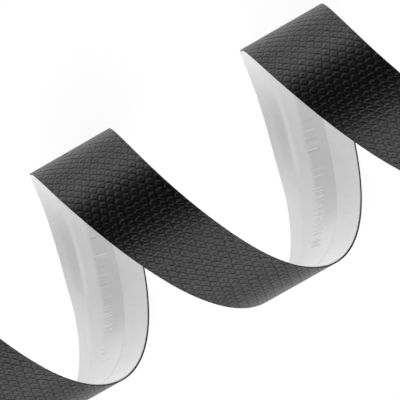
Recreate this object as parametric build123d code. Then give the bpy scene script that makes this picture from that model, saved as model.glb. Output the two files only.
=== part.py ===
"""Cushioned grip tape for a racket handle, lying on a surface as a loose open coil.

Millimetres, +Z up. The coil's axis runs along +X, and each turn rests on a short flat stretch
at Z = 0. The origin is under the middle of the coil's box, on that surface. The tape is a
laminate of four strips that bend together. A place in it is given by the turn it is on, by how
far across the tape it is (from the centre line, towards +X), and by how deep it is below the
outer face, the one that the hand grips.
"""
from build123d import *
import os
from math import atan, cos, degrees, hypot, pi, sin, sqrt

# The tape
TAPE_WIDTH = 25.0
SKIN_THICKNESS = 0.4
CUSHION_THICKNESS = 1.4
CUSHION_EDGE = 0.3              # thickness that is left at the skived long edges
BEVEL_WIDTH = 5.2               # width of the skived band along the -X edge
ADHESIVE_WIDTH = 8.0
ADHESIVE_THICKNESS = 0.2
ADHESIVE_OFFSET = 1.1           # from the tape's centre line
LINER_THICKNESS = 0.12          # the liner is as wide as the adhesive

# The coil, measured on the tape's outer face
BEND_RADIUS = 28.5              # of turn 0
FLAT_RUN = 8.0                  # straight stretch at the top and the bottom of each turn
PITCH = 77.7                    # advance along X in one turn
TURN_GROWTH = 0.02              # each turn is larger than the one before by this share
LEAN = 0.188                    # how far a turn leans towards +X, per unit of height
SKEW = -0.072                   # how far a turn's +Y side is ahead along +X, per unit of Y
FIRST_TURN = -2.1               # where the tape starts and ends: a whole number of turns is on
LAST_TURN = 3.1                 # the +Y side, and a quarter turn more is at the top

POINTS_PER_SPAN = 9             # on each edge curve of one arc or one flat run
SAMPLES = 4000                  # along the whole tape, for its length and its box
STEP = 1e-5                     # of a turn, for slopes
LEVEL = 1e-6                    # heights closer than this are the same
RUN_OUT = 0.035                 # of a turn, cut off again when the ends are squared
END_BLOCK = (24.0, 60.0, 24.0)  # what is cut off: along, across and through the tape

EDGE = TAPE_WIDTH / 2
CUSHION_BASE = SKIN_THICKNESS + CUSHION_THICKNESS
ADHESIVE_LEFT = ADHESIVE_OFFSET - ADHESIVE_WIDTH / 2
ADHESIVE_RIGHT = ADHESIVE_OFFSET + ADHESIVE_WIDTH / 2
LINER_TOP = CUSHION_BASE + ADHESIVE_THICKNESS
HALF_FLAT = FLAT_RUN / 2
QUARTER = pi * BEND_RADIUS / 2
TURN_LENGTH = 4 * QUARTER + 2 * FLAT_RUN
TOP_FLAT = QUARTER, QUARTER + FLAT_RUN
BOTTOM_FLAT = 3 * QUARTER + FLAT_RUN, 3 * QUARTER + 2 * FLAT_RUN


def section(turn):
    """The end view of the coil: the bend's centre along Y, and the outward normal's angle."""
    run = (turn % 1.0) * TURN_LENGTH
    if run < TOP_FLAT[0]:
        return HALF_FLAT, run / BEND_RADIUS
    if run < TOP_FLAT[1]:
        return HALF_FLAT - (run - TOP_FLAT[0]), pi / 2
    if run < BOTTOM_FLAT[0]:
        return -HALF_FLAT, pi / 2 + (run - TOP_FLAT[1]) / BEND_RADIUS
    if run < BOTTOM_FLAT[1]:
        return (run - BOTTOM_FLAT[0]) - HALF_FLAT, 3 * pi / 2
    return HALF_FLAT, 3 * pi / 2 + (run - BOTTOM_FLAT[1]) / BEND_RADIUS


def centre_line(turn, depth=0.0):
    """A point on the tape's centre line, before the coil is put over the origin."""
    size = 1.0 + TURN_GROWTH * turn
    middle, angle = section(turn)
    radius = BEND_RADIUS * size
    outer_y = middle * size + radius * cos(angle)
    outer_z = radius + radius * sin(angle)
    x = PITCH * turn + LEAN * outer_z + SKEW * outer_y
    return Vector(x, outer_y - depth * cos(angle), outer_z - depth * sin(angle))


def lead(turn):
    """Advance along X for each millimetre round the turn."""
    rise = centre_line(turn + STEP) - centre_line(turn - STEP)
    return rise.X / hypot(rise.Y, rise.Z)


def place(turn, across, depth):
    """A point in the tape. Its width runs along X, so it looks wider there than it is."""
    return centre_line(turn, depth) + Vector(across * sqrt(1.0 + lead(turn) ** 2), 0, 0)


def edge_curve(start, end, across, depth):
    """A long edge of a strip, over one arc or one flat run of the coil."""
    turns = [start + (end - start) * i / (POINTS_PER_SPAN - 1) for i in range(POINTS_PER_SPAN)]
    points = [place(turn, across, depth) for turn in turns]
    tangents = [
        place(start + STEP, across, depth) - points[0],
        points[-1] - place(end - STEP, across, depth),
    ]
    return Edge.make_spline(points, tangents=[tangent.normalized() for tangent in tangents])


def spans(first, last):
    """Cut the tape where an arc meets a flat run, so that each span is one smooth curve."""
    cuts = {first, last}
    for turn in range(int(first) - 2, int(last) + 2):
        for run in (*TOP_FLAT, *BOTTOM_FLAT):
            cuts.add(turn + run / TURN_LENGTH)
    cuts = sorted(cut for cut in cuts if first <= cut <= last)
    return list(zip(cuts[:-1], cuts[1:]))


def end_face(turn, profile):
    """The flat face that closes a strip."""
    corners = [place(turn, across, depth) for across, depth in profile]
    return Face(Wire.make_polygon(corners, close=True))


def end_block(turn, direction):
    """A block that stands just past the squared end of the tape."""
    forward = (centre_line(turn + STEP) - centre_line(turn - STEP)).normalized()
    angle = section(turn)[1]
    inward = Vector(0, -cos(angle), -sin(angle))
    frame = Plane(origin=centre_line(turn), x_dir=forward * direction, z_dir=inward)
    return frame * Pos(END_BLOCK[0] / 2, 0, 0) * Box(*END_BLOCK)


def side_face(edge, next_edge):
    """The face between two long edges: a true plane where the tape lies flat."""
    corners = [edge @ 0, edge @ 1, next_edge @ 1, next_edge @ 0]
    heights = [corner.Z for corner in corners]
    if max(heights) - min(heights) > LEVEL:
        return Face.make_surface_from_curves(edge, next_edge)
    far_side = Edge.make_line(corners[1], corners[2])
    near_side = Edge.make_line(corners[3], corners[0])
    return Face(Wire([edge, far_side, next_edge, near_side]))


def strip(profile):
    """One strip of the laminate: its cross-section, carried along the whole tape."""
    first = FIRST_TURN - RUN_OUT
    last = LAST_TURN + RUN_OUT
    faces = [end_face(first, profile), end_face(last, profile)]
    for start, end in spans(first, last):
        edges = [edge_curve(start, end, across, depth) for across, depth in profile]
        for edge, next_edge in zip(edges, edges[1:] + edges[:1]):
            faces.append(side_face(edge, next_edge))
    long_strip = Solid(Shell(faces))
    return long_strip - end_block(FIRST_TURN, -1) - end_block(LAST_TURN, 1)


def rectangle(left, right, top, thickness):
    """The cross-section of a flat strip, as (across, depth) corners."""
    return [(left, top), (right, top), (right, top + thickness), (left, top + thickness)]


def cushion_profile():
    """The foam: full thickness in the middle, and skived thin along both long edges.

    The skived band along the +X edge starts at the adhesive. The inner face has a corner
    at each side of the adhesive, so that the two strips share one face exactly.
    """
    edge_depth = SKIN_THICKNESS + CUSHION_EDGE
    return [
        (-EDGE, SKIN_THICKNESS),
        (EDGE, SKIN_THICKNESS),
        (EDGE, edge_depth),
        (ADHESIVE_RIGHT, CUSHION_BASE),
        (ADHESIVE_LEFT, CUSHION_BASE),
        (BEVEL_WIDTH - EDGE, CUSHION_BASE),
        (-EDGE, edge_depth),
    ]


def box_middle():
    """The middle of the tape's box along X and Y, before it is put over the origin."""
    turns = [
        FIRST_TURN + (LAST_TURN - FIRST_TURN) * i / SAMPLES for i in range(SAMPLES + 1)
    ]
    xs = [place(turn, across, 0).X for turn in turns for across in (-EDGE, EDGE)]
    ys = [place(turn, 0, 0).Y for turn in turns]
    return (min(xs) + max(xs)) / 2, (min(ys) + max(ys)) / 2


def tape_length():
    """The length of the tape's centre line, on its outer face."""
    step = (LAST_TURN - FIRST_TURN) / SAMPLES
    points = [centre_line(FIRST_TURN + step * i) for i in range(SAMPLES + 1)]
    return sum((b - a).length for a, b in zip(points, points[1:]))


strips = {
    "grip_skin": rectangle(-EDGE, EDGE, 0.0, SKIN_THICKNESS),
    "foam_cushion": cushion_profile(),
    "adhesive_strip": rectangle(
        ADHESIVE_LEFT, ADHESIVE_RIGHT, CUSHION_BASE, ADHESIVE_THICKNESS
    ),
    "release_liner": rectangle(ADHESIVE_LEFT, ADHESIVE_RIGHT, LINER_TOP, LINER_THICKNESS),
}

middle_x, middle_y = box_middle()
os.makedirs("parts", exist_ok=True)
for name, profile in strips.items():
    export_step(Pos(-middle_x, -middle_y, 0) * strip(profile), f"parts/{name}.step")

print(f"tape length {tape_length():.1f} mm in {LAST_TURN - FIRST_TURN:.1f} turns")
print(f"lead angle at the +Y side {degrees(atan(lead(0.0))):.1f} degrees")
print(f"middle of the box before moving {middle_x:.3f} {middle_y:.3f}")
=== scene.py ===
"""Looks of the cushioned grip tape coil: four strips of one laminate, built on the CAD's coil.

Metres, +Z up, in the CAD's frame. A place in the tape is given by how far it is along the
centre line from the first end, how far across the tape it is (from the centre line, towards
+X) and how deep it is below the outer face, the one that the hand grips. Node materials use
the same place in millimetres, from each mesh's "tape" attribute.
"""
from math import cos, pi, radians, sin, tan

import bpy
import numpy as np
from mathutils import Matrix, Vector


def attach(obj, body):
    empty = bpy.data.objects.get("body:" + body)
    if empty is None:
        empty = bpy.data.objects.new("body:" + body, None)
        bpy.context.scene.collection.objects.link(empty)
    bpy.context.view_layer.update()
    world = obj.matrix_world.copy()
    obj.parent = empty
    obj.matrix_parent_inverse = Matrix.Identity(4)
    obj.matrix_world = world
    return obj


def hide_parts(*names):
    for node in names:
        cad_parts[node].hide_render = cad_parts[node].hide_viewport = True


MM = 0.001

# The tape and its coil, as in the CAD
TAPE_WIDTH = 25.0 * MM
SKIN_THICKNESS = 0.4 * MM
CUSHION_THICKNESS = 1.4 * MM
CUSHION_EDGE = 0.3 * MM
BEVEL_WIDTH = 5.2 * MM
ADHESIVE_WIDTH = 8.0 * MM
ADHESIVE_THICKNESS = 0.2 * MM
ADHESIVE_OFFSET = 1.1 * MM
LINER_THICKNESS = 0.12 * MM
BEND_RADIUS = 28.5 * MM
FLAT_RUN = 8.0 * MM
PITCH = 77.7 * MM
TURN_GROWTH = 0.02
LEAN = 0.188
SKEW = -0.072
FIRST_TURN = -2.1
LAST_TURN = 3.1
SAMPLES = 4000                  # along the whole tape, for its length and its box
STEP = 1e-5                     # of a turn, for slopes

EDGE = TAPE_WIDTH / 2
CUSHION_BASE = SKIN_THICKNESS + CUSHION_THICKNESS
ADHESIVE_LEFT = ADHESIVE_OFFSET - ADHESIVE_WIDTH / 2
ADHESIVE_RIGHT = ADHESIVE_OFFSET + ADHESIVE_WIDTH / 2
LINER_TOP = CUSHION_BASE + ADHESIVE_THICKNESS
HALF_FLAT = FLAT_RUN / 2
QUARTER = pi * BEND_RADIUS / 2
TURN_LENGTH = 4 * QUARTER + 2 * FLAT_RUN
BOTTOM_FLAT = 3 * QUARTER + FLAT_RUN

# The arch that stands for the flat run at the top of a turn
ARCH_ANGLE = radians(22)        # to each side of the top
ARCH_RUN = HALF_FLAT + ARCH_ANGLE * BEND_RADIUS
ARCH_RADIUS = BEND_RADIUS + HALF_FLAT / sin(ARCH_ANGLE)
ARCH_BASE = BEND_RADIUS - HALF_FLAT / tan(ARCH_ANGLE)

# The band along the -X edge waves outwards and then inwards on each turn
CURL_OUT = 0.3 * MM
CURL_IN = 1.2 * MM
CURL_MIDDLE = 38.5 * MM         # along the tape, from the -Y side of the turn
CURL_LENGTH = 66 * MM
CURL_FADE = 12 * MM

# The foam's inner face
LIP_HEIGHT = 0.3 * MM           # it swells beside the liner's +X edge
LIP_WIDTH = 1.5 * MM
LIP_RISE = 0.02 * MM            # across which the lip starts
FOLD_DEPTH = 0.8 * MM           # it is pressed in where the band along the -X edge bends inwards
FOLD_WIDTHS = 2.6 * MM, 1.5 * MM        # on the fold's -X side and on its +X side
FOAM_INSET = 0.22 * MM          # the skin shows this much beyond the foam along the +X edge

# How finely the foam, the adhesive and the liner are divided, and which edges look sharp
STATIONS = 760                  # loops along the foam and along the adhesive
FOAM_POINTS = 6, 42             # across the foam's outer and inner faces
ADHESIVE_POINTS = 5
LINER_POINTS = 4, 27
LINER_STEP = 1.6 * MM           # between loops along the liner
CREASED_STEP = 0.16 * MM        # the same, on the creased stretch of a turn
CREASED = 15 * MM, 61 * MM      # that stretch, from the -Y side of the turn
SHARP_ANGLE = radians(50)
SKIN_SHARP_ANGLE = radians(70)

# The embossed scales on the outer face: slanted ovals with a raised rim, in rows along the tape
ROWS_ACROSS = 19                # rows in the tape's width
SCALE_SPACING = 4.15 * MM       # from scale to scale along a row
ROW_SHIFT = 1.5 * MM            # a row's scales are this far ahead of the next row's towards +X
SCALE_ANGLE = radians(38)       # of a scale's long axis, from along the tape towards across
SCALE_HALF_SIZES = 1.45 * MM, 0.72 * MM
RIM = 0.7                       # where the rim's crest is, as a share of the half sizes
DISH = 0.6                      # how much lower a scale's middle is than its rim
EMBOSS_DEPTH = 0.06 * MM
VERTICES_PER_ROW = 3
VERTICES_PER_SCALE = 6
BACK_POINTS = 4                 # across the skin's inner face
SQUARED_OVER = 20 * MM          # the mesh's slanted columns turn square over this at both ends

# Painted light and shade on the skin, in millimetres: a painted highlight along part of each
# scale's rim, and painted shade in its grooves and pit. A scale's are lines, along and across the
# tape from its middle.
RIM_HIGHLIGHT = (-0.35, 0.8), (-0.8, 0.42), (-1.02, -0.2), (-0.85, -0.98)
SIDE_GROOVE_SHADE = (-0.9, -1.23), (1.2, 0.02)
TIP_GROOVE_SHADE = (0.4, 1.17), (1.2, 0.37)
PIT_SHADE = (-0.5, -0.23), (-0.1, 0.32)
MARK_FADE = 0.07, 0.3           # from its line, where a mark starts to fade and is gone
WANDER = 0.9                    # how widely the marks stray
CUT_SIDE = 0.16, 0.24           # the depths between which the skin's cut sides turn dull

# Creases in the liner. Places along the tape are from the -Y side of their turn. Most pairs are
# the ends of a range to draw from. The first two strays are shares of the spacing.
SEED = 38
GATHERS = 26                    # they stand up, from the liner's -X edge
GATHERS_START = 17.5 * MM
GATHER_SPACING = 0.78 * MM
GATHER_STRAY = -0.2, 0.2
GATHER_ENDS = -0.6 * MM, 0.9 * MM
GATHER_SLANTS = -0.1 * MM, 0.5 * MM
GATHER_HEIGHTS = 0.12 * MM, 0.32 * MM
GATHER_LOSS = 0.6               # the last one is lower than the first by this share
GATHER_WIDTH = 0.2 * MM
FINE_FOLDS = 11                 # they stand up a little, in the liner's middle
FINE_FOLDS_START = 39.0 * MM
FINE_FOLD_SPACING = 1.7 * MM
FINE_FOLD_STRAY = -0.3, 0.3
FINE_FOLD_LEFTS = -2.4 * MM, -1.4 * MM
FINE_FOLD_RIGHTS = 1.0 * MM, 2.4 * MM
FINE_FOLD_HEIGHTS = 0.02 * MM, 0.09 * MM
FINE_FOLD_SLANT = 0.3 * MM
CREASE_WIDTH = 0.3 * MM         # of fine folds and of the pressed creases
PRESSED_AT = 44.0 * MM, 48.5 * MM, 52.5 * MM, 58.0 * MM     # these are pressed in
PRESSED_STRAY = -0.6 * MM, 0.6 * MM
PRESSED_FEET = -1.9 * MM, -1.2 * MM     # across the tape, as the tips are
PRESSED_TIPS = 1.2 * MM, 2.6 * MM
PRESSED_HEIGHTS = -0.06 * MM, -0.01 * MM
PRESSED_SLANT = 0.5 * MM
BRANCH = -2.4 * MM, -2.2 * MM   # where a fainter one from the same foot ends, along and across
CREASE_REACH = 5 * MM           # further along the tape than this, a crease has no effect

# Where the liner has let go of the adhesive, from the same side
LOOSE_HEIGHT = 0.07 * MM
LOOSE_FROM = -8 * MM, 2 * MM    # none at the first, all at the second
LOOSE_TO = 37 * MM, 17 * MM

# The camera stands off towards +X, far away, and is turned about its own axis
CAMERA_TILT = radians(26.09)    # from straight down
CAMERA_ROLL = radians(29.64)
CAMERA_TARGET = Vector((-11.26, 1.66, 28.45)) * MM
VIEW_WIDTH = 113.9 * MM
LENS = 1000.0
SENSOR = 36.0

# The light tent: a bright wall on each side of the coil, and a lamp above the +X, +Y corner.
# Angles are from overhead towards +Y, and ends are the part of a direction that is along +X.
NEAR_LIGHT = 2.0
NEAR_EDGE = radians(-10), radians(-3)       # where the -Y wall fades out
FAR_LIGHT = 2.25
FAR_EDGE = radians(51), radians(74)         # where the +Y wall fades in
WALLS_END = 0.0, 0.25
LAMP_LIGHT = 4.2
LAMP_EDGE = radians(20), radians(50)
LAMP_END = 0.4, 0.9

FLOOR_REACH = 8.0
FLOOR_GLOW = 0.93


# ------------------------------------------------------------------ the coil


def section(turn):
    """The end view of the coil, for turn 0: Y and Z on the outer face, and the normal's angle.

    The CAD's flat run at the top is a shallow arch here, as the tape has no kink in it.
    """
    run = (turn % 1.0) * TURN_LENGTH
    over_bottom = np.clip(run - BOTTOM_FLAT, 0.0, FLAT_RUN)
    over_top = np.clip(run - QUARTER, 0.0, FLAT_RUN)
    angle = (run - over_top - over_bottom) / BEND_RADIUS
    y = HALF_FLAT - over_top + over_bottom + BEND_RADIUS * np.cos(angle)
    z = BEND_RADIUS + BEND_RADIUS * np.sin(angle)
    arched = np.abs(run - QUARTER - HALF_FLAT) < ARCH_RUN
    arch_angle = pi / 2 + (run - QUARTER - HALF_FLAT) / ARCH_RUN * ARCH_ANGLE
    angle = np.where(arched, arch_angle, angle)
    y = np.where(arched, ARCH_RADIUS * np.cos(arch_angle), y)
    z = np.where(arched, ARCH_BASE + ARCH_RADIUS * np.sin(arch_angle), z)
    return y, z, angle


def centre_line(turn, depth=0.0):
    """The tape's centre line, before the coil is put over the origin."""
    size = 1.0 + TURN_GROWTH * turn
    y, z, angle = section(turn)
    x = PITCH * turn + LEAN * z * size + SKEW * y * size
    return np.stack([x, y * size - depth * np.cos(angle), z * size - depth * np.sin(angle)], -1)


def pace(turn):
    """Advance along X, and round the turn, for one whole turn at this rate."""
    rise = (centre_line(turn + STEP) - centre_line(turn - STEP)) / (2 * STEP)
    return rise[..., 0], np.hypot(rise[..., 1], rise[..., 2])


def place(turn, across, depth):
    """Points of the tape. Its width runs along X, so it looks wider there than it is."""
    advance, arc = pace(turn)
    points = centre_line(turn, depth)
    points[..., 0] += across * np.hypot(1.0, advance / arc)
    return points


TURNS = np.linspace(FIRST_TURN, LAST_TURN, SAMPLES + 1)
ALONG = np.concatenate(
    [[0.0], np.cumsum(np.linalg.norm(np.diff(centre_line(TURNS), axis=0), axis=1))]
)
TAPE_LENGTH = ALONG[-1]


def middle_of_coil():
    """The middle of the coil's box, which the CAD puts over the origin."""
    edges = np.concatenate([place(TURNS, -EDGE, 0.0), place(TURNS, EDGE, 0.0)])
    middle = (edges.min(0) + edges.max(0)) / 2
    middle[2] = 0.0
    return middle


COIL_MIDDLE = middle_of_coil()


def smoothstep(low, high, value):
    share = np.clip((value - low) / (high - low), 0.0, 1.0)
    return share * share * (3.0 - 2.0 * share)


def turn_starts():
    """How far along the tape the -Y side of each turn is.

    The first turn has lost that side, so it starts at the tape's end.
    """
    turns = np.arange(round(FIRST_TURN), round(LAST_TURN) + 1)
    return np.interp(turns - 0.5, TURNS, ALONG)


def edge_bend(along):
    """How the band along the -X edge is bent: from -1, outwards, to 1, inwards."""
    bend = np.zeros(np.shape(along))
    half = CURL_LENGTH / 2
    for start in turn_starts():
        past = along - start - CURL_MIDDLE
        fade = smoothstep(half + CURL_FADE / 2, half - CURL_FADE / 2, np.abs(past))
        bend += fade * np.sin(pi * past / half)
    return bend


def curl(along, across):
    """How far a place near the -X edge is moved inwards."""
    bend = edge_bend(along)
    share = np.clip((BEVEL_WIDTH - EDGE - across) / BEVEL_WIDTH, 0.0, 1.0)
    return bend * np.where(bend > 0.0, CURL_IN, CURL_OUT) * share


def tape_point(along, across, depth):
    """Points of the tape by the length along it, measured square to its edges."""
    centre = np.interp(along, ALONG, TURNS)
    advance, arc = pace(centre)
    turn = centre - across * advance / np.hypot(advance, arc) / arc
    return place(turn, across, depth + curl(along, across)) - COIL_MIDDLE


# ------------------------------------------------------------------ meshes


def strip(name, along, across, depth, sharp):
    """A closed strip. Each row of the arrays is one loop round its cross-section.

    Edges that turn by more than the sharp angle look sharp.
    """
    stations, corners = along.shape
    points = tape_point(along, across, depth).reshape(-1, 3)
    here = np.arange(stations * corners).reshape(stations, corners)
    ring = np.roll(here, -1, axis=1)
    quads = np.stack([here[:-1], here[1:], ring[1:], ring[:-1]], -1).reshape(-1, 4)
    faces = [*quads.tolist(), here[0].tolist(), here[-1, ::-1].tolist()]
    mesh = bpy.data.meshes.new(name)
    mesh.from_pydata(points.tolist(), [], faces)
    where = np.stack([along, across, depth], -1).reshape(-1, 3) / MM
    attribute = mesh.attributes.new("tape", "FLOAT_VECTOR", "POINT")
    attribute.data.foreach_set("vector", where.astype(np.float32).ravel())
    mesh.shade_smooth()
    mesh.set_sharp_from_angle(angle=sharp)
    mesh.validate()
    piece = bpy.data.objects.new(name, mesh)
    bpy.context.scene.collection.objects.link(piece)
    return piece


def loops(stations, profile):
    """Repeat one cross-section, a list of (across, depth), at every station."""
    across, depth = np.array(profile).T
    shape = (len(stations), len(profile))
    along = np.broadcast_to(stations[:, None], shape)
    return along.copy(), np.broadcast_to(across, shape).copy(), np.broadcast_to(depth, shape).copy()


def scale_lattice():
    """The two steps from scale to scale, each a column, in metres along and across the tape.

    The first goes to the next row towards -X. The second goes two scales along and three rows
    towards +X. Another scale is in the middle of the four that these steps join.
    """
    row = TAPE_WIDTH / ROWS_ACROSS
    short = np.array([ROW_SHIFT, -row])
    long = np.array([2 * SCALE_SPACING, 0.0]) - 3 * short
    return np.stack([short, long], 1)


STEPS_TO_TAPE = scale_lattice()
TAPE_TO_STEPS = np.linalg.inv(STEPS_TO_TAPE)
SCALE_AXES = np.array([
    [cos(SCALE_ANGLE), sin(SCALE_ANGLE)],
    [-sin(SCALE_ANGLE), cos(SCALE_ANGLE)],
])
STEPS_TO_SCALE = SCALE_AXES @ STEPS_TO_TAPE / np.array(SCALE_HALF_SIZES)[:, None]


def emboss(along, across):
    """Height of the embossing, from 0 in the grooves to 1 on the rims."""
    steps = np.stack([along, across], -1) @ TAPE_TO_STEPS.T
    height = np.zeros(along.shape)
    for offset in (0.0, 0.5):
        near = steps + offset
        near -= np.round(near)
        reach = np.linalg.norm(near @ STEPS_TO_SCALE.T, axis=-1)
        scale = smoothstep(1.0, RIM, reach) - DISH * smoothstep(RIM, 0.0, reach)
        height = np.maximum(height, scale)
    return height


def skin():
    """The black outer face. Its grid keeps step with the scales, so that all come out alike.

    The next row's scales towards +X are a little more than two grid steps behind, and the grid's
    columns slant to make up the difference. The long edges stay at full height.
    """
    spacing = SCALE_SPACING / VERTICES_PER_SCALE
    stations = np.linspace(0.0, TAPE_LENGTH, int(TAPE_LENGTH / spacing) + 1)
    outer = np.linspace(-EDGE, EDGE, ROWS_ACROSS * VERTICES_PER_ROW + 1)
    inner = np.linspace(EDGE, -EDGE, BACK_POINTS)
    profile = [(v, 0.0) for v in outer] + [(v, SKIN_THICKNESS) for v in inner]
    along, across, depth = loops(stations, profile)
    slant = (2 * spacing - ROW_SHIFT) / (TAPE_WIDTH / ROWS_ACROSS)
    from_end = np.minimum(stations, TAPE_LENGTH - stations)
    along += slant * across * smoothstep(0.0, SQUARED_OVER, from_end)[:, None]
    face = np.s_[:, :len(outer)]
    height = emboss(along[face], across[face])
    height[:, [0, -1]] = 1.0
    depth[face] = EMBOSS_DEPTH * (1.0 - height)
    return strip("embossed_skin", along, across, depth, SKIN_SHARP_ANGLE)


def cushion_depth(across):
    """Depth of the foam's inner face, between its skived edges and with a lip at the liner."""
    edge_depth = SKIN_THICKNESS + CUSHION_EDGE
    left = np.clip((across + EDGE) / BEVEL_WIDTH, 0.0, 1.0)
    right = np.clip((EDGE - across) / (EDGE - ADHESIVE_RIGHT), 0.0, 1.0)
    past_liner = across - ADHESIVE_RIGHT
    lip = np.where(past_liner > 0.0, 1.0 - np.clip(past_liner / LIP_WIDTH, 0.0, 1.0), 0.0)
    return edge_depth + (CUSHION_BASE - edge_depth) * np.minimum(left, right) + LIP_HEIGHT * lip


def foam():
    """The white cushion, skived thin along both edges, with a fold at the -X band."""
    stations = np.linspace(0.0, TAPE_LENGTH, STATIONS)
    outer = np.linspace(-EDGE, EDGE - FOAM_INSET, FOAM_POINTS[0])
    inner = np.linspace(EDGE - FOAM_INSET, -EDGE, FOAM_POINTS[1])
    fold = BEVEL_WIDTH - EDGE
    inner = np.append(inner, [ADHESIVE_RIGHT, ADHESIVE_RIGHT + LIP_RISE, fold])
    inner = np.sort(inner)[::-1]
    profile = [(v, SKIN_THICKNESS) for v in outer] + [(v, cushion_depth(v)) for v in inner]
    along, across, depth = loops(stations, profile)
    away = np.maximum((fold - across) / FOLD_WIDTHS[0], (across - fold) / FOLD_WIDTHS[1])
    in_fold = np.clip(1.0 - away, 0.0, 1.0)
    in_fold[:, :len(outer)] = 0.0
    depth -= FOLD_DEPTH * in_fold * np.clip(edge_bend(along), 0.0, 1.0)
    return strip("foam_backing", along, across, depth, SHARP_ANGLE)


def adhesive():
    """The adhesive band, under the liner."""
    stations = np.linspace(0.0, TAPE_LENGTH, STATIONS)
    left, right = ADHESIVE_LEFT, ADHESIVE_RIGHT
    profile = [(v, CUSHION_BASE) for v in np.linspace(left, right, ADHESIVE_POINTS)]
    profile += [(v, LINER_TOP) for v in np.linspace(right, left, ADHESIVE_POINTS)]
    return strip("adhesive_band", *loops(stations, profile), SHARP_ANGLE)


def creases(start, chance):
    """The creases on one turn: (along, across) of both ends, width and height.

    A crease that is pressed in has a height below zero.
    """
    for i in range(GATHERS):
        along = start + GATHERS_START + GATHER_SPACING * (i + chance.uniform(*GATHER_STRAY))
        end = chance.uniform(*GATHER_ENDS)
        slant = chance.uniform(*GATHER_SLANTS)
        height = chance.uniform(*GATHER_HEIGHTS) * (1.0 - GATHER_LOSS * i / GATHERS)
        yield (along, ADHESIVE_LEFT), (along + slant, end), GATHER_WIDTH, height
    for i in range(FINE_FOLDS):
        stray = chance.uniform(*FINE_FOLD_STRAY)
        along = start + FINE_FOLDS_START + FINE_FOLD_SPACING * (i + stray)
        left = chance.uniform(*FINE_FOLD_LEFTS)
        right = chance.uniform(*FINE_FOLD_RIGHTS)
        height = chance.uniform(*FINE_FOLD_HEIGHTS)
        yield (along, left), (along + FINE_FOLD_SLANT, right), CREASE_WIDTH, height
    for ahead in PRESSED_AT:
        along = start + ahead + chance.uniform(*PRESSED_STRAY)
        foot = along - PRESSED_SLANT, chance.uniform(*PRESSED_FEET)
        height = chance.uniform(*PRESSED_HEIGHTS)
        tip = along, chance.uniform(*PRESSED_TIPS)
        yield foot, tip, CREASE_WIDTH, height
        branch = along + BRANCH[0], BRANCH[1]
        yield foot, branch, CREASE_WIDTH, height * chance.uniform(0.0, 1.0)


def liner_height(along, across):
    """How much higher the liner is where it is loose or creased, and lower where pressed in."""
    height = np.zeros(along.shape)
    for number, start in enumerate(turn_starts()):
        past = along - start
        height += LOOSE_HEIGHT * smoothstep(*LOOSE_FROM, past) * smoothstep(*LOOSE_TO, past)
        chance = np.random.default_rng(SEED + number)
        for end, other_end, width, crest in creases(start, chance):
            run = np.subtract(other_end, end)
            near = np.abs(along[:, 0] - end[0]) < CREASE_REACH
            x = along[near] - end[0]
            y = across[near] - end[1]
            share = np.clip((x * run[0] + y * run[1]) / (run @ run), 0.0, 1.0)
            away = np.hypot(x - share * run[0], y - share * run[1]) / width
            crease = crest * np.exp(-away ** 2)
            higher = np.abs(crease) > np.abs(height[near])
            height[near] = np.where(higher, crease, height[near])
    return height


def liner():
    """The release liner over the adhesive, creased from a turn's -Y side to past its bottom."""
    coarse = np.arange(0.0, TAPE_LENGTH, LINER_STEP)
    fine = [np.arange(*(start + np.array(CREASED)), CREASED_STEP) for start in turn_starts()]
    stations = np.unique(np.concatenate([coarse, *fine, [TAPE_LENGTH]]))
    stations = stations[stations <= TAPE_LENGTH]
    outer = np.linspace(ADHESIVE_LEFT, ADHESIVE_RIGHT, LINER_POINTS[0])
    inner = np.linspace(ADHESIVE_RIGHT, ADHESIVE_LEFT, LINER_POINTS[1])
    profile = [(v, LINER_TOP) for v in outer]
    profile += [(v, LINER_TOP + LINER_THICKNESS) for v in inner]
    along, across, depth = loops(stations, profile)
    face = np.s_[:, len(outer):]
    depth[face] += liner_height(along[face], across[face])
    return strip("peel_liner", along, across, depth, SHARP_ANGLE)


# ------------------------------------------------------------------ materials


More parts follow.
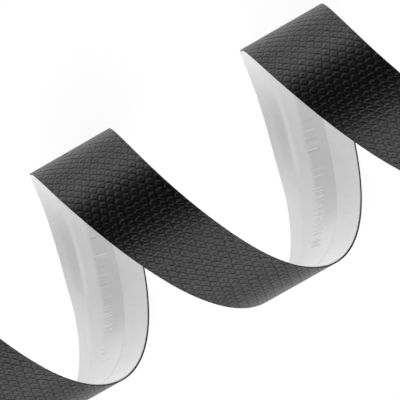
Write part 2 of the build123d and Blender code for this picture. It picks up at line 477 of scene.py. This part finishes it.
class Graph:
    """A node tree, with a short call to add a node."""

    def __init__(self, tree):
        self.tree = tree
        tree.nodes.clear()

    def add(self, kind, inputs=None, output=0, **settings):
        """Add a node and return one of its outputs. Inputs are values or other outputs."""
        node = self.tree.nodes.new(kind)
        for key, value in settings.items():
            setattr(node, key, value)
        for key, value in (inputs or {}).items():
            if isinstance(value, bpy.types.NodeSocket):
                self.tree.links.new(value, node.inputs[key])
            else:
                node.inputs[key].default_value = value
        return node.outputs[output] if node.outputs else node

    def math(self, operation, *values):
        return self.add("ShaderNodeMath", dict(enumerate(values)), operation=operation)

    def vector(self, operation, *values, output="Vector"):
        inputs = dict(enumerate(values))
        return self.add("ShaderNodeVectorMath", inputs, output, operation=operation)

    def dot(self, vector, constant):
        return self.vector("DOT_PRODUCT", vector, constant, output="Value")

    def distance(self, spot, line):
        """How far a spot is from the line through these points."""
        nearest = None
        for start, end in zip(line, line[1:]):
            start, end = Vector((*start, 0.0)), Vector((*end, 0.0))
            run = end - start
            slope = run / run.length_squared
            inputs = {0: self.dot(spot, slope), 1: start.dot(slope)}
            share = self.add("ShaderNodeMath", inputs, operation="SUBTRACT", use_clamp=True)
            foot = self.vector("MULTIPLY_ADD", run, share, start)
            away = self.vector("DISTANCE", spot, foot, output="Value")
            nearest = away if nearest is None else self.math("MINIMUM", nearest, away)
        return nearest

    def ramp(self, value, low, high, to_low=0.0, to_high=1.0):
        """Smoothly from to_low to to_high, as the value goes from low to high."""
        inputs = {0: value, 1: low, 2: high, 3: to_low, 4: to_high}
        return self.add("ShaderNodeMapRange", inputs, interpolation_type="SMOOTHSTEP")

    def grey(self, share, dark, light):
        """A neutral colour, from dark to light as the share goes from 0 to 1."""
        return self.ramp(share, 0.0, 1.0, dark, light)

    def noise(self, vector, scale, detail, output=0):
        inputs = {"Vector": vector, "Scale": scale, "Detail": detail}
        return self.add("ShaderNodeTexNoise", inputs, output)

    def bump(self, height, distance, normal=None):
        inputs = {"Height": height, "Distance": distance}
        if normal is not None:
            inputs["Normal"] = normal
        return self.add("ShaderNodeBump", inputs)

    def tape(self):
        """The place in the tape, in millimetres."""
        return self.add("ShaderNodeAttribute", output="Vector", attribute_name="tape")


def new_material(name):
    material = bpy.data.materials.new(name)
    material.use_nodes = True
    return material, Graph(material.node_tree)


def surface(graph, inputs):
    shader = graph.add("ShaderNodeBsdfPrincipled", inputs)
    graph.add("ShaderNodeOutputMaterial", {"Surface": shader})


def embossed_scales(g, tape):
    """How strongly each painted mark shows, from 0 to 1: rim highlight, side groove shade, tip
    groove shade, pit shade.
    """
    wave = g.noise(tape, 0.8, 2.0, "Color")
    stray = g.vector("SUBTRACT", wave, (0.5, 0.5, 0.5))
    strayed = g.vector("MULTIPLY_ADD", stray, (WANDER, WANDER, 0.0), tape)
    short, long = (Vector((*step, 0.0)) / MM for step in STEPS_TO_TAPE.T)
    marks = {RIM_HIGHLIGHT: [], SIDE_GROOVE_SHADE: [], TIP_GROOVE_SHADE: [], PIT_SHADE: []}
    for offset in (0.0, 0.5):
        steps = [
            g.math("WRAP", g.math("ADD", g.dot(strayed, (*row, 0.0)), offset), 0.5, -0.5)
            for row in TAPE_TO_STEPS * MM
        ]
        here = g.vector("MULTIPLY_ADD", short, steps[0], g.vector("MULTIPLY", long, steps[1]))
        for line, distances in marks.items():
            distances.append(g.distance(here, line))
    return [
        g.ramp(g.math("MINIMUM", *distances), *MARK_FADE, 1.0, 0.0)
        for distances in marks.values()
    ]


def skin_material():
    """Glossy black crests with a painted highlight along their rims, and grooves in painted shade:
    matt, near black and hardly reflecting.
    """
    material, g = new_material("black_embossed_polyurethane")
    tape = g.tape()
    # The rim highlight and the shade in the grooves and pit are painted; the same marks also shape
    # the bump.
    rim_highlight_and_specks, side_groove_shade, tip_groove_shade, pit_shade = embossed_scales(g, tape)
    shallow_shade = g.math("MULTIPLY", g.math("MAXIMUM", tip_groove_shade, pit_shade), 0.8)
    groove_shade_and_specks = g.math("MAXIMUM", side_groove_shade, shallow_shade)
    normal = g.bump(g.math("SUBTRACT", rim_highlight_and_specks, groove_shade_and_specks), 0.025 * MM)
    normal = g.bump(g.noise(tape, 4.0, 4.0), 0.02 * MM, normal)
    uneven = g.ramp(g.noise(tape, 0.7, 2.0), 0.3, 0.6, 0.35, 1.0)
    specks = g.noise(tape, 2.4, 2.0)
    pale_specks = g.ramp(specks, 0.25, 0.42, 0.3, 0.0)
    dull_specks = g.ramp(specks, 0.58, 0.75, 0.0, 0.4)
    rim_highlight_and_specks = g.math("MAXIMUM", g.math("MULTIPLY", rim_highlight_and_specks, uneven), pale_specks)
    groove_shade_and_specks = g.math("MAXIMUM", g.math("MULTIPLY", groove_shade_and_specks, uneven), dull_specks)
    # Base colour: the rims' pale grey is painted highlight, with random pale specks added.
    shine = {"Base Color": g.grey(rim_highlight_and_specks, 0.0012, 0.032), "Roughness": 0.33, "Normal": normal,
             "Specular IOR Level": 0.49}
    # Painted shade in the grooves and pit, also used for random dull specks and the cut sides: matt
    # near black, no specular.
    dull_shade_settings = {"Base Color": (0.001, 0.001, 0.001, 1.0), "Roughness": 0.9, "Specular IOR Level": 0.0}
    crests = g.add("ShaderNodeBsdfPrincipled", shine)
    dull_shade_shader = g.add("ShaderNodeBsdfPrincipled", dull_shade_settings)
    cut_side = g.ramp(g.dot(tape, (0.0, 0.0, 1.0)), *CUT_SIDE)
    shade_and_dull_share = g.math("MAXIMUM", g.math("MULTIPLY", groove_shade_and_specks, 0.72), cut_side)
    mixed = g.add("ShaderNodeMixShader", {0: shade_and_dull_share, 1: crests, 2: dull_shade_shader})
    g.add("ShaderNodeOutputMaterial", {"Surface": mixed})
    return material


def foam_material():
    material, g = new_material("white_foam")
    tape = g.tape()
    cells = g.noise(tape, 4.0, 3.0)
    soft = g.noise(tape, 0.35, 2.0)
    normal = g.bump(cells, 0.03 * MM, g.bump(soft, 0.12 * MM))
    surface(g, {"Base Color": g.grey(soft, 0.86, 0.90), "Roughness": 0.9, "Normal": normal,
                "Specular IOR Level": 0.2})
    return material


def adhesive_material():
    material, g = new_material("milky_adhesive")
    lumps = g.noise(g.tape(), 1.5, 3.0)
    surface(g, {"Base Color": g.grey(lumps, 0.74, 0.82), "Roughness": 0.5,
                "Normal": g.bump(lumps, 0.03 * MM)})
    return material


def liner_material():
    """A film that looks grey where it sticks to the adhesive and white where it has let go, with
    painted shade darkening its pressed-in creases.
    """
    material, g = new_material("release_film")
    tape = g.tape()
    across = g.dot(tape, (0.0, 1.0, 0.0))
    above = g.dot(tape, (0.0, 0.0, 1.0))
    lines = g.noise(g.vector("MULTIPLY", tape, (1.0, 0.12, 1.0)), 1.6, 2.0)
    cloud = g.noise(tape, 0.3, 2.0)
    flat = (LINER_TOP + LINER_THICKNESS) / MM
    edge = ADHESIVE_LEFT / MM
    lifted = g.ramp(above, flat, flat + 0.09)
    # Painted shade: the colour darkens where a crease is pressed in below the flat liner.
    crease_shade = g.ramp(above, flat - 0.07, flat - 0.005, 0.8, 1.0)
    loose = g.ramp(across, edge, edge + 2.6, 1.0, 0.0)
    white = g.math("MAXIMUM", g.math("MULTIPLY", cloud, 0.3), g.math("MAXIMUM", lifted, loose))
    colour = g.math("MULTIPLY", g.grey(white, 0.72, 0.87), crease_shade)
    surface(g, {"Base Color": colour, "Roughness": 0.38, "Normal": g.bump(lines, 0.05 * MM)})
    return material


# ------------------------------------------------------------------ stage


def floor():
    reach = FLOOR_REACH
    corners = [(-reach, -reach, 0), (reach, -reach, 0), (reach, reach, 0), (-reach, reach, 0)]
    mesh = bpy.data.meshes.new("studio_floor")
    mesh.from_pydata(corners, [], [(0, 1, 2, 3)])
    plane = bpy.data.objects.new("studio_floor", mesh)
    bpy.context.scene.collection.objects.link(plane)
    material, g = new_material("pale_floor")
    surface(g, {"Base Color": (0.12, 0.12, 0.12, 1.0), "Roughness": 0.9,
                "Specular IOR Level": 0.0, "Emission Color": (1.0, 1.0, 1.0, 1.0),
                "Emission Strength": FLOOR_GLOW})
    mesh.materials.append(material)


def light_tent():
    """The surroundings, by direction."""
    world = bpy.data.worlds.new("light_tent")
    world.use_nodes = True
    bpy.context.scene.world = world
    g = Graph(world.node_tree)
    direction = g.add("ShaderNodeTexCoord", output="Generated")
    x, y, z = (g.dot(direction, axis) for axis in ((1, 0, 0), (0, 1, 0), (0, 0, 1)))
    angle = g.math("ARCTAN2", y, z)
    near = g.ramp(angle, *NEAR_EDGE, NEAR_LIGHT, 0.0)
    far = g.ramp(angle, *FAR_EDGE, 0.0, FAR_LIGHT)
    walls = g.math("MULTIPLY", g.math("ADD", near, far), g.ramp(x, *WALLS_END, 1.0, 0.0))
    lamp = g.math("MULTIPLY", g.ramp(angle, *LAMP_EDGE, 0.0, LAMP_LIGHT), g.ramp(x, *LAMP_END))
    light = g.math("ADD", walls, lamp)
    background = g.add("ShaderNodeBackground", {"Color": light, "Strength": 1.0})
    g.add("ShaderNodeOutputWorld", {"Surface": background})


def camera():
    data = bpy.data.cameras.new("camera")
    data.lens = LENS
    data.sensor_width = SENSOR
    item = bpy.data.objects.new("camera", data)
    bpy.context.scene.collection.objects.link(item)
    back = Vector((sin(CAMERA_TILT), 0.0, cos(CAMERA_TILT)))
    down_slope = Vector((cos(CAMERA_TILT), 0.0, -sin(CAMERA_TILT)))
    far = Vector((0.0, 1.0, 0.0))
    right = cos(CAMERA_ROLL) * down_slope - sin(CAMERA_ROLL) * far
    up = sin(CAMERA_ROLL) * down_slope + cos(CAMERA_ROLL) * far
    distance = VIEW_WIDTH * LENS / SENSOR
    data.clip_start = distance / 10
    data.clip_end = distance * 10
    turned = Matrix((right, up, back)).transposed().to_4x4()
    item.matrix_world = Matrix.Translation(CAMERA_TARGET + back * distance) @ turned
    bpy.context.scene.camera = item


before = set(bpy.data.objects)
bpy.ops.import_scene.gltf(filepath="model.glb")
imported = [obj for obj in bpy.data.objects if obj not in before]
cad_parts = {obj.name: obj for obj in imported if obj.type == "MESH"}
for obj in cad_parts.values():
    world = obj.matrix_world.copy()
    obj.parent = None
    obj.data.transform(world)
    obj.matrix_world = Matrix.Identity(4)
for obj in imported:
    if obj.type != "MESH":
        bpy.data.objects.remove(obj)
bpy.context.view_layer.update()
bpy.context.scene.view_settings.view_transform = "Standard"
floor()
light_tent()
camera()
outer_skin = skin()
cushion = foam()
for piece, node, slot, material in (
    (outer_skin, "grip_skin", "skin", skin_material()),
    (cushion, "foam_cushion", "foam", foam_material()),
    (adhesive(), "adhesive_strip", "adhesive", adhesive_material()),
    (liner(), "release_liner", "liner", liner_material()),
):
    piece.data.materials.append(material)
    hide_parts(node)
    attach(piece, "root")
